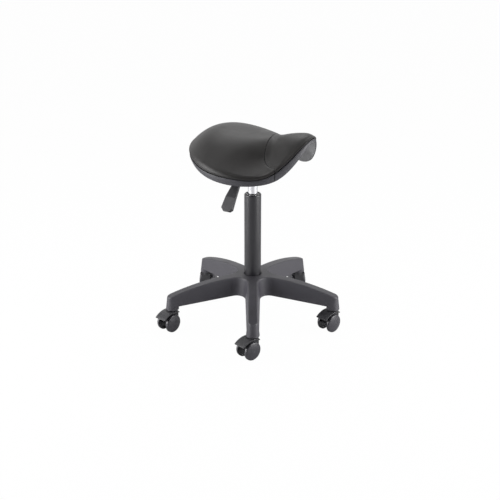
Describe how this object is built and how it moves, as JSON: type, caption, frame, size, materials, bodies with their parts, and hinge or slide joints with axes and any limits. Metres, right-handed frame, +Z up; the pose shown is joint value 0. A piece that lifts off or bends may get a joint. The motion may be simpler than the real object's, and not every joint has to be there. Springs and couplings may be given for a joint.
{
  "type": "rolling saddle stool",
  "caption": "Padded saddle seat on a gas lift column with a release paddle, over a star base on twin wheel swivel casters.",
  "frame": {"origin": "on the floor, under the centre of the column", "axes": "+Z up along the column, -Y to the front of the seat where the narrow horn is, +X to the sitter's left"},
  "size_m": [0.5755, 0.5301, 0.6063],
  "materials": {
    "leatherette": "soft satin grain, black",
    "leatherette_band": "matte grain, black",
    "foam": "open cell foam",
    "shell_plastic": "moulded, matte black",
    "lining_board": "light grey moulded lining board",
    "plywood": "bare plywood",
    "black_steel": "satin black powder coat",
    "zinc_steel": "bright zinc",
    "chrome": "polished chrome",
    "nylon_base": "fine texture charcoal nylon",
    "nylon_hood": "fine texture black nylon",
    "nylon_wheel": "semi gloss black nylon",
    "acetal": "natural acetal",
    "paddle_plastic": "grained black plastic",
    "bumper_rubber": "black rubber",
    "brass": "turned brass"
  },
  "bodies": {
    "base": {"five_star_base": "nylon_base", "stand_tube": "black_steel", "guide_bush": "acetal", "lower_bearing_washer": "zinc_steel", "bearing_cage": "acetal", "bearing_balls": "zinc_steel", "caster_stems": "zinc_steel", "caster_grip_rings": "zinc_steel"},
    "rod": {"piston_rod": "zinc_steel", "piston": "acetal", "upper_bearing_washer": "zinc_steel", "stop_bumper": "bumper_rubber", "clip_washer": "zinc_steel", "retaining_clip": "zinc_steel"},
    "seat": {"pressure_tube": "chrome", "rod_gland": "acetal", "mechanism_top_plate": "black_steel", "mechanism_channel": "black_steel", "taper_socket": "black_steel", "lever_pivot_pin": "zinc_steel", "seat_bolts": "zinc_steel", "lock_washers": "zinc_steel", "threaded_inserts": "brass", "mounting_block": "plywood", "seat_shell": "shell_plastic", "foam_pad": "foam", "seat_side_band": "leatherette_band", "seat_front_panel": "leatherette", "seat_rear_panel": "leatherette", "underside_liner": "lining_board"},
    "lever": {"lever_arm": "black_steel", "lever_paddle": "paddle_plastic"},
    "button": {"release_button": "zinc_steel"},
    "caster_1": {"caster_1_hood": "nylon_hood", "caster_1_axle": "zinc_steel"},
    "caster_1_left": {"caster_1_left_wheel": "nylon_wheel"},
    "caster_1_right": {"caster_1_right_wheel": "nylon_wheel"},
    "caster_2": {"caster_2_hood": "nylon_hood", "caster_2_axle": "zinc_steel"},
    "caster_2_left": {"caster_2_left_wheel": "nylon_wheel"},
    "caster_2_right": {"caster_2_right_wheel": "nylon_wheel"},
    "caster_3": {"caster_3_hood": "nylon_hood", "caster_3_axle": "zinc_steel"},
    "caster_3_left": {"caster_3_left_wheel": "nylon_wheel"},
    "caster_3_right": {"caster_3_right_wheel": "nylon_wheel"},
    "caster_4": {"caster_4_hood": "nylon_hood", "caster_4_axle": "zinc_steel"},
    "caster_4_left": {"caster_4_left_wheel": "nylon_wheel"},
    "caster_4_right": {"caster_4_right_wheel": "nylon_wheel"},
    "caster_5": {"caster_5_hood": "nylon_hood", "caster_5_axle": "zinc_steel"},
    "caster_5_left": {"caster_5_left_wheel": "nylon_wheel"},
    "caster_5_right": {"caster_5_right_wheel": "nylon_wheel"}
  },
  "joints": [
    {"name": "seat_swivel", "type": "hinge", "parent": "base", "child": "rod", "pos_m": [0, 0, 0.09], "axis": [0, 0, 1], "continuous": true},
    {"name": "seat_lift", "type": "slide", "parent": "rod", "child": "seat", "axis": [0, 0, 1], "range_m": [0, 0.2]},
    {"name": "lever_lift", "type": "hinge", "parent": "seat", "child": "lever", "pos_m": [-0.022, 0, 0.4953], "axis": [0, 1, 0], "range_deg": [0, 8], "stiffness_Nm_per_rad": 4, "springref_deg": -5.16},
    {"name": "button_press", "type": "slide", "parent": "seat", "child": "button", "axis": [0, 0, 1], "range_m": [-0.004, 0]},
    {"name": "caster_1_swivel", "type": "hinge", "parent": "base", "child": "caster_1", "pos_m": [-0.21953, -0.12169, 0.05], "axis": [0, 0, 1], "continuous": true},
    {"name": "caster_1_left_roll", "type": "hinge", "parent": "caster_1", "child": "caster_1_left", "pos_m": [-0.23525, -0.11606, 0.0275], "axis": [-0.3371, -0.9415, 0], "continuous": true},
    {"name": "caster_1_right_roll", "type": "hinge", "parent": "caster_1", "child": "caster_1_right", "pos_m": [-0.23525, -0.11606, 0.0275], "axis": [-0.3371, -0.9415, 0], "continuous": true},
    {"name": "caster_2_swivel", "type": "hinge", "parent": "base", "child": "caster_2", "pos_m": [0.04789, -0.24639, 0.05], "axis": [0, 0, 1], "continuous": true},
    {"name": "caster_2_left_roll", "type": "hinge", "parent": "caster_2", "child": "caster_2_left", "pos_m": [0.03186, -0.24173, 0.0275], "axis": [-0.279, -0.9603, 0], "continuous": true},
    {"name": "caster_2_right_roll", "type": "hinge", "parent": "caster_2", "child": "caster_2_right", "pos_m": [0.03186, -0.24173, 0.0275], "axis": [-0.279, -0.9603, 0], "continuous": true},
    {"name": "caster_3_swivel", "type": "hinge", "parent": "base", "child": "caster_3", "pos_m": [0.24913, -0.03059, 0.05], "axis": [0, 0, 1], "continuous": true},
    {"name": "caster_3_left_roll", "type": "hinge", "parent": "caster_3", "child": "caster_3_left", "pos_m": [0.26114, -0.01899, 0.0275], "axis": [-0.6947, 0.7193, 0], "continuous": true},
    {"name": "caster_3_right_roll", "type": "hinge", "parent": "caster_3", "child": "caster_3_right", "pos_m": [0.26114, -0.01899, 0.0275], "axis": [-0.6947, 0.7193, 0], "continuous": true},
    {"name": "caster_4_swivel", "type": "hinge", "parent": "base", "child": "caster_4", "pos_m": [0.10608, 0.22748, 0.05], "axis": [0, 0, 1], "continuous": true},
    {"name": "caster_4_left_roll", "type": "hinge", "parent": "caster_4", "child": "caster_4_left", "pos_m": [0.12228, 0.23152, 0.0275], "axis": [-0.2419, 0.9703, 0], "continuous": true},
    {"name": "caster_4_right_roll", "type": "hinge", "parent": "caster_4", "child": "caster_4_right", "pos_m": [0.12228, 0.23152, 0.0275], "axis": [-0.2419, 0.9703, 0], "continuous": true},
    {"name": "caster_5_swivel", "type": "hinge", "parent": "base", "child": "caster_5", "pos_m": [-0.18357, 0.17118, 0.05], "axis": [0, 0, 1], "continuous": true},
    {"name": "caster_5_left_roll", "type": "hinge", "parent": "caster_5", "child": "caster_5_left", "pos_m": [-0.19992, 0.17457, 0.0275], "axis": [-0.2028, -0.9792, 0], "continuous": true},
    {"name": "caster_5_right_roll", "type": "hinge", "parent": "caster_5", "child": "caster_5_right", "pos_m": [-0.19992, 0.17457, 0.0275], "axis": [-0.2028, -0.9792, 0], "continuous": true}
  ],
  "couplings": [
    {"joint": "button_press", "follows": "lever_lift", "m_per_rad": -0.026}
  ]
}
